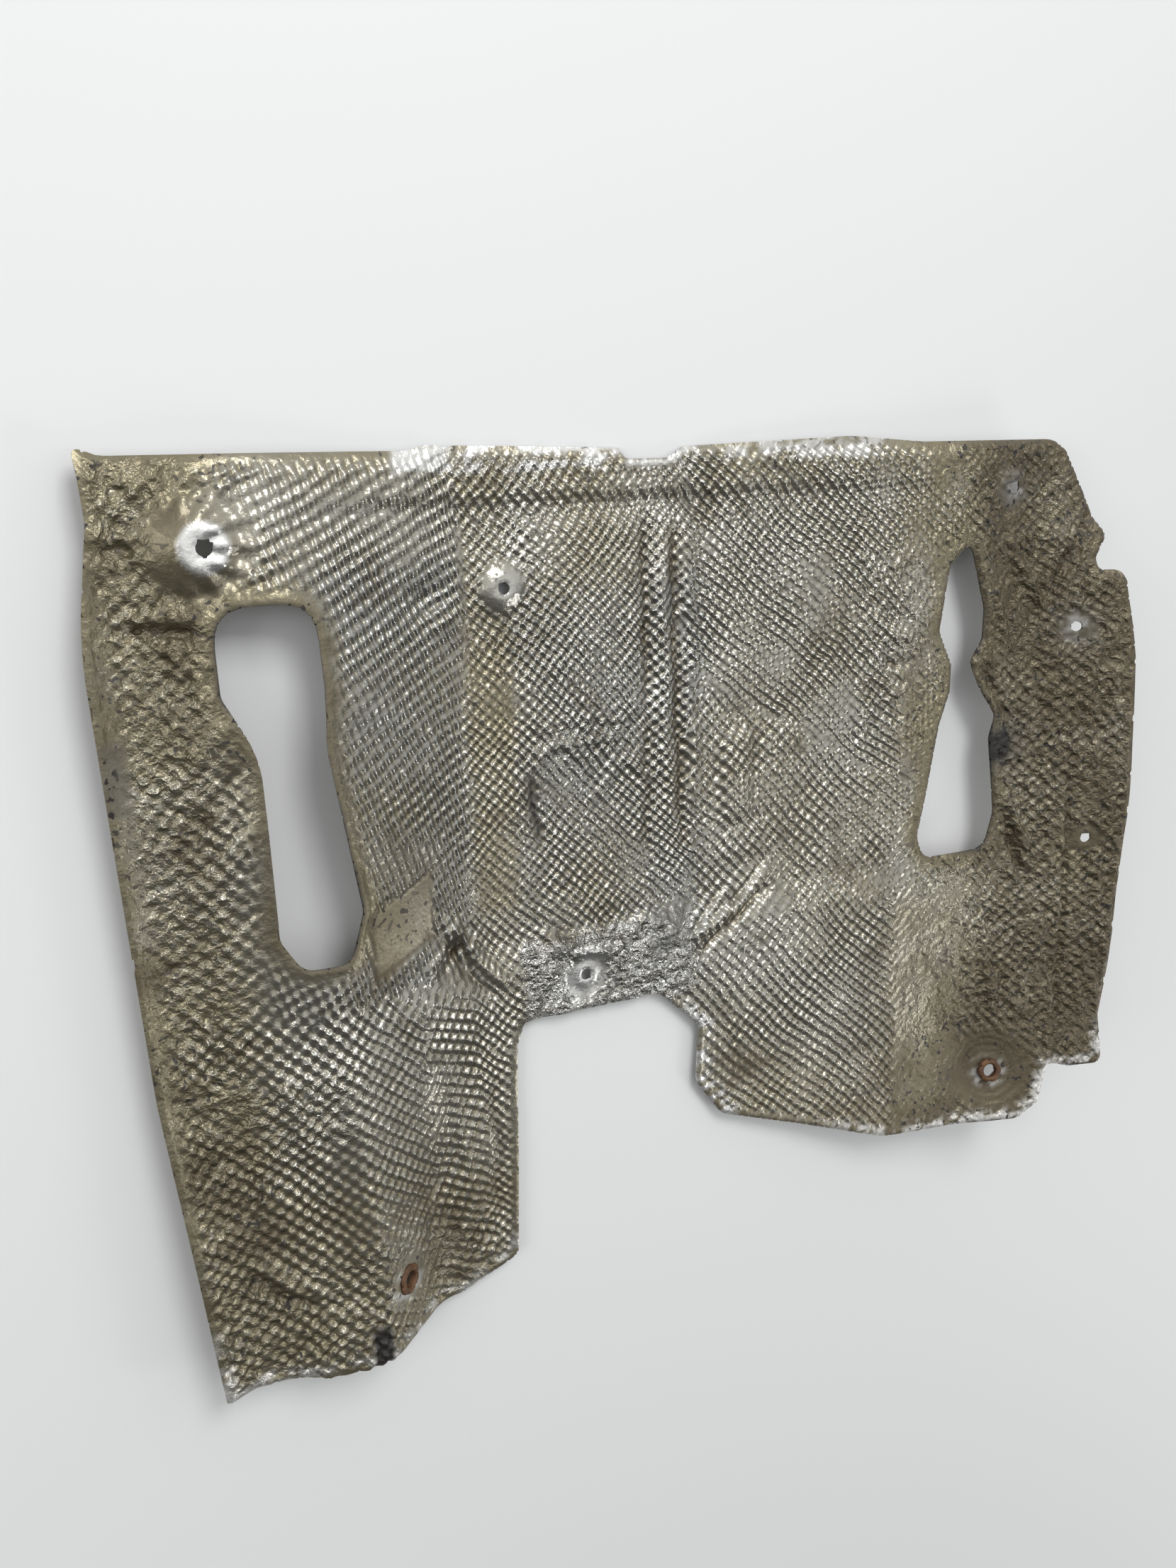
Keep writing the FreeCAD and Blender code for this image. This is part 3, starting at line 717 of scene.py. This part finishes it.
def brown_and_shade_share(u, v, gap):
    """Heavy brown dirt and painted shade: the sum of the wing, the low ends and patches, with painted shade
    along the openings' rims and in the grooves.
    """
    cloud, left, right, low = dirty_sides(u, v)
    wing = ease(u + 10.0 * cloud, 262.0, 330.0)
    brown_and_shade = 0.75 * wing + 0.25 * left * (0.5 + cloud) + 0.4 * window_pad(u, v)
    brown_and_shade = brown_and_shade + low * (0.35 * ease(u, 150.0, 250.0) + 0.3 * (0.4 + cloud))
    # Painted shade: a dark band along the openings' rims.
    brown_and_shade = brown_and_shade + 0.5 * (1.0 - ease(gap, 0.0, 5.0))
    # Painted shade: the grooves of the folds are darkened.
    for *line, height in FOLDS:
        brown_and_shade = brown_and_shade + 0.3 * fold(u, v, *line, max(-height, 0.0))
    patches = np.clip(noise(u, v, 30.0, 55) + noise(u, v, 11.0, 56) - 0.5, 0.0, 1.0)
    return brown_and_shade + 0.45 * patches + 0.45 * (right + 0.7 * left) * noise(u, v, 44.0, 57)


def soot_and_shade_share(x, y, u, v, gap):
    """Soot and painted shade: the sum of soot spots, burnt zones, sooty holes, lines, cracks of the right
    side, and painted shade in the crevice by the dome, in a groove and along the openings' rims.
    """
    cloud = dirty_sides(u, v)[0]
    soot_and_shade = 1.1 * zone("leg_tip", u, v) + 0.55 * zone("strip_burn", u, v)
    # Painted shade in the crevice at the foot of the dome.
    soot_and_shade = soot_and_shade + 0.35 * zone("dome_foot", u, v) * (0.6 + cloud)
    for cx, cy, radius, share in SOOT_SPOTS:
        soot_and_shade = soot_and_shade + share * spot(u, v, cx, cy, radius)
    for name, radius in SOOT_HOLES.items():
        soot_and_shade = soot_and_shade + SOOT_HOLE_SHARE * spot(x, y, *HOLES[name][:2], radius)
    # The second line is painted shade in the groove by the recess.
    for row in SOOT_AND_SHADE_LINES:
        soot_and_shade = soot_and_shade + fold(u, v, *row)
    crack = 1.0 - ease(np.abs(noise(u + 3.0 * noise(u, v, 6.0, 72), v, 15.0, 71)), 0.02, 0.10)
    soot_and_shade = soot_and_shade + 0.5 * crack * (zone("corner", u, v) + 0.4 * ease(u, 300.0, 380.0))
    # Painted shade: a dark band along the openings' rims.
    return soot_and_shade + 0.8 * (1.0 - ease(gap, 0.0, 1.8)) * (0.5 + cloud)


def bare_and_glint_share(x, y, u, v, edge):
    """Rubbed metal and painted highlight: three seats, and scratches at the rubbed holes, the top and the
    lower rims, with bright scratches on the ledge painted as glints.
    """
    bare_and_glint = 0.8 * spot(x, y, *HOLES["ledge"][:2], 11.0) + 0.5 * spot(x, y, *HOLES["channel"][:2], 8.0)
    bare_and_glint = bare_and_glint + 1.0 - ease(from_hole("upper_left", x, y), 9.5, 12.5)
    # Painted highlight: the ledge's bright scratches stand in for glints.
    worn_and_glint = 0.9 * zone("top_left", u, v) + 0.6 * zone("top_right", u, v) + 0.45 * zone("ledge", u, v)
    worn_and_glint = worn_and_glint + (1.0 - ease(edge, 5.0, 14.0)) * zone("notch_side", u, v)
    worn_and_glint = worn_and_glint + 0.7 * (1.0 - ease(edge, 3.0, 10.0)) * (1.0 - ease(v, -290.0, -255.0))
    for name in ("upper_right", "wing_upper"):
        worn_and_glint = worn_and_glint + 0.8 * spot(x, y, *HOLES[name][:2], 7.0)
    scratch = 0.5 + 1.6 * noise(u, 3.0 * v, 9.0, 81) + 0.8 * noise(3.0 * u, v, 8.0, 82)
    return np.clip(bare_and_glint + worn_and_glint * np.clip(scratch, 0.0, 1.0), 0.0, 1.0)


def weather(x, y, u, v, gap, edge):
    """Shares of tan dirt; of dark dirt and of soot, both with painted shade in places; of painted shade on
    the flank and channel; and of rubbed metal with painted glints; each 0 to 1.
    """
    bare_and_glint = bare_and_glint_share(x, y, u, v, edge)
    shares = {
        "dirt": dirt_share(u, v, gap, edge) - 0.6 * bare_and_glint - 0.2 * zone("ledge", u, v),
        "brown_and_shade": brown_and_shade_share(u, v, gap),
        "soot_and_shade": soot_and_shade_share(x, y, u, v, gap),
        # Painted shade on the rib's flank and the channel.
        "painted_shade": zone("flank", u, v) + 0.9 * zone("channel", u, v),
        "bare_and_glint": bare_and_glint,
    }
    return {name: np.clip(share, 0.0, 1.0) for name, share in shares.items()}


def add_piece(name, points, quads, node, material):
    """Smooth mesh object from points in mm of the CAD frame, riding on the one body."""
    mesh = bpy.data.meshes.new(name)
    mesh.from_pydata(((points - ORIGIN) * MM).tolist(), [], quads.tolist())
    mesh.update()
    mesh.shade_smooth()
    mesh.materials.append(material)
    piece = bpy.data.objects.new(name, mesh)
    bpy.context.scene.collection.objects.link(piece)
    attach(piece, "root")
    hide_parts(node)
    return piece


def add_layers(piece, layers):
    """Store shares as point attributes, which the material reads."""
    for name, share in layers.items():
        layer = piece.data.attributes.new(name, "FLOAT", "POINT")
        layer.data.foreach_set("value", share.astype(np.float32))


def rim_edges(quads):
    """Directed edges that belong to one quad only."""
    edges = np.concatenate([quads[:, [i, (i + 1) % 4]] for i in range(4)])
    pairs = np.sort(edges, axis=1)
    code = pairs[:, 0] * (quads.max() + 1) + pairs[:, 1]
    _, first, counts = np.unique(code, return_index=True, return_counts=True)
    return edges[first[counts == 1]]


class SHIELD_OT_sheet(bpy.types.Operator):
    """Build the pressed sheet: embossed face with its cut edge, and the plain back"""

    bl_idname = "heat_shield.sheet"
    bl_label = "Build Sheet"

    def face(self, settings, material):
        """Embossed skin, with a wall of the sheet's thickness along every cut edge."""
        x, y, quads, gap, edge = plan_grid(settings.cell)
        z = base_height(x, y)
        u, v = laid(x, y, z)
        ex, ey = wander(x, y, u, v)
        shares = emboss_shares(x, y, u, v, gap, edge)
        pattern = settings.emboss * emboss(ex, ey, shares, settings.cell)
        bumps = lifted(z, relief(x, y, u, v, edge, settings) + pattern)
        skin = np.stack([x, y, z + bumps], axis=1)
        rim, side = np.unique(rim_edges(quads), return_inverse=True)
        side = side.reshape(-1, 2) + len(skin)
        below = side + len(rim)
        walls = np.stack([side[:, 0], below[:, 0], below[:, 1], side[:, 1]], axis=1)
        drop = np.array([0.0, 0.0, settings.thickness])
        points = np.concatenate([skin, skin[rim], skin[rim] - drop])
        piece = add_piece("sheet_face", points, np.concatenate([quads, walls]),
                          "heat_shield_sheet", material)
        layers = weather(x, y, u, v, gap, edge) | shares
        layers |= {"ex": ex, "ey": ey, "rough": foil_share(x, y, u, v, edge)}
        add_layers(piece, {name: np.concatenate([share, share[rim], share[rim]])
                           for name, share in layers.items()})

    def back(self, settings, material):
        """Skin without emboss, below the face and never below the floor."""
        x, y, quads, gap, edge = plan_grid(settings.back_cell, BACK_GROW)
        z = base_height(x, y)
        u, v = laid(x, y, z)
        bumps = lifted(z, relief(x, y, u, v, edge, settings))
        under = settings.thickness + settings.emboss * ease(edge, 1.0, 6.0)
        points = np.stack([x, y, np.maximum(z + bumps - under, ORIGIN[2])], axis=1)
        piece = add_piece("sheet_back", points, quads[:, ::-1],
                          "heat_shield_sheet", material)
        add_layers(piece, weather(x, y, u, v, gap, edge))

    def execute(self, context):
        settings = context.scene.heat_shield
        material = sheet_material(settings)
        self.face(settings, material)
        self.back(settings, material)
        return {"FINISHED"}


class SHIELD_OT_eyelets(bpy.types.Operator):
    """Build the crimped steel eyelets: a turned ring whose flange is split into claws"""

    bl_idname = "heat_shield.eyelets"
    bl_label = "Build Eyelets"

    def execute(self, context):
        settings = context.scene.heat_shield
        profile = np.array(EYELET_SECTION)
        angle = np.arange(EYELET_TURNS) * 2.0 * math.pi / EYELET_TURNS
        claw = np.abs(np.cos(3.0 * angle)) ** 0.35
        out = ease(profile[:, 0], 6.0, 8.4) * (profile[:, 1] > 0)
        r = profile[None, :, 0] - 1.5 * out[None] * (1 - claw[:, None])
        h = profile[None, :, 1] - 0.5 * out[None] * (1 - claw[:, None])
        rings = len(profile)
        local = np.stack([r * np.cos(angle)[:, None], r * np.sin(angle)[:, None], h], axis=2)
        local = local.reshape(-1, 3)
        i, j = np.meshgrid(np.arange(EYELET_TURNS), np.arange(rings - 1), indexing="ij")
        i, j = i.ravel(), j.ravel()
        k = (i + 1) % EYELET_TURNS
        quads = np.stack([i * rings + j, k * rings + j, k * rings + j + 1, i * rings + j + 1], axis=1)
        points, faces = [], []
        for name, (height, axis) in EYELETS.items():
            turn = np.array(Vector(axis).to_track_quat("Z", "Y").to_matrix())
            faces.append(quads + len(local) * len(points))
            points.append(local @ turn.T + np.array([*HOLES[name][:2], height]))
        add_piece("eyelets", np.concatenate(points), np.concatenate(faces),
                  "steel_eyelets", rust_material(settings))
        return {"FINISHED"}


class SHIELD_OT_stage(bpy.types.Operator):
    """Build the floor, the lights and the camera"""

    bl_idname = "heat_shield.stage"
    bl_label = "Build Stage"

    def floor(self, scene, settings):
        """Plain pale square under the part."""
        material, shader, _ = new_material("floor")
        feed(shader, Base_Color=rgba(settings.floor), Roughness=FLOOR_ROUGHNESS)
        corners = [(-1, -1, 0), (1, -1, 0), (1, 1, 0), (-1, 1, 0)]
        mesh = bpy.data.meshes.new("floor")
        mesh.from_pydata([FLOOR_HALF * Vector(c) for c in corners], [], [(0, 1, 2, 3)])
        mesh.materials.append(material)
        floor = bpy.data.objects.new("floor", mesh)
        scene.collection.objects.link(floor)

    def lamp(self, scene, name, at, size, power):
        """Square soft light that faces the part."""
        light = bpy.data.lights.new(name, "AREA")
        light.size = size
        light.energy = power
        lamp = bpy.data.objects.new(name, light)
        lamp.location = at
        lamp.rotation_euler = (-Vector(at)).to_track_quat("-Z", "Y").to_euler()
        scene.collection.objects.link(lamp)

    def world(self, scene):
        """World that runs smoothly from dark to pale along one direction."""
        world = bpy.data.worlds.new("world")
        world.use_nodes = True
        tree = world.node_tree
        shade = next(n for n in tree.nodes if n.type == "BACKGROUND")
        away = Sock(tree, None).make("ShaderNodeTexCoord", {}, out=0)
        lean = away.make("ShaderNodeVectorMath", {0: away, 1: GLOW_WAY}, out=1, operation="DOT_PRODUCT")
        (start, low), (end, high) = GLOW_FROM, GLOW_TO
        glow = lean.make("ShaderNodeMapRange", {0: lean, 1: start, 2: end, 3: low, 4: high},
                         interpolation_type="SMOOTHSTEP")
        shade.inputs["Color"].default_value = (1.0, 1.0, 1.0, 1.0)
        tree.links.new(glow.socket, shade.inputs["Strength"])
        scene.world = world
        scene.view_settings.view_transform = "Standard"

    def camera(self, scene):
        """Camera at the photo's place and angle."""
        camera = bpy.data.cameras.new("camera")
        camera.sensor_fit = "AUTO"
        camera.sensor_width = SENSOR
        camera.lens = LENS
        camera.clip_start = 0.01
        eye = bpy.data.objects.new("camera", camera)
        eye.matrix_world = Matrix.Translation((EYE - ORIGIN) * MM) @ Matrix(CAMERA_TURN).to_4x4()
        scene.collection.objects.link(eye)
        scene.camera = eye

    def execute(self, context):
        scene = context.scene
        self.floor(scene, scene.heat_shield)
        for row in LAMPS:
            self.lamp(scene, *row)
        self.world(scene)
        self.camera(scene)
        return {"FINISHED"}


class SHIELD_PT_panel(bpy.types.Panel):
    """Sidebar panel with the sizes, colours and build buttons"""

    bl_idname = "SHIELD_PT_panel"
    bl_label = "Heat Shield"
    bl_space_type = "VIEW_3D"
    bl_region_type = "UI"
    bl_category = "Heat Shield"

    def draw(self, context):
        settings = context.scene.heat_shield
        for name in ShieldSettings.__annotations__:
            self.layout.prop(settings, name)
        for operator in (SHIELD_OT_sheet, SHIELD_OT_eyelets, SHIELD_OT_stage):
            self.layout.operator(operator.bl_idname)


CLASSES = (ShieldSettings, SHIELD_OT_sheet, SHIELD_OT_eyelets, SHIELD_OT_stage, SHIELD_PT_panel)


def register():
    for cls in CLASSES:
        bpy.utils.register_class(cls)
    bpy.types.Scene.heat_shield = bpy.props.PointerProperty(type=ShieldSettings)


def unregister():
    del bpy.types.Scene.heat_shield
    for cls in reversed(CLASSES):
        bpy.utils.unregister_class(cls)


def main():
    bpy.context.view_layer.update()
    register()
    bpy.ops.heat_shield.sheet()
    bpy.ops.heat_shield.eyelets()
    bpy.ops.heat_shield.stage()


if __name__ == "__main__":
    main()
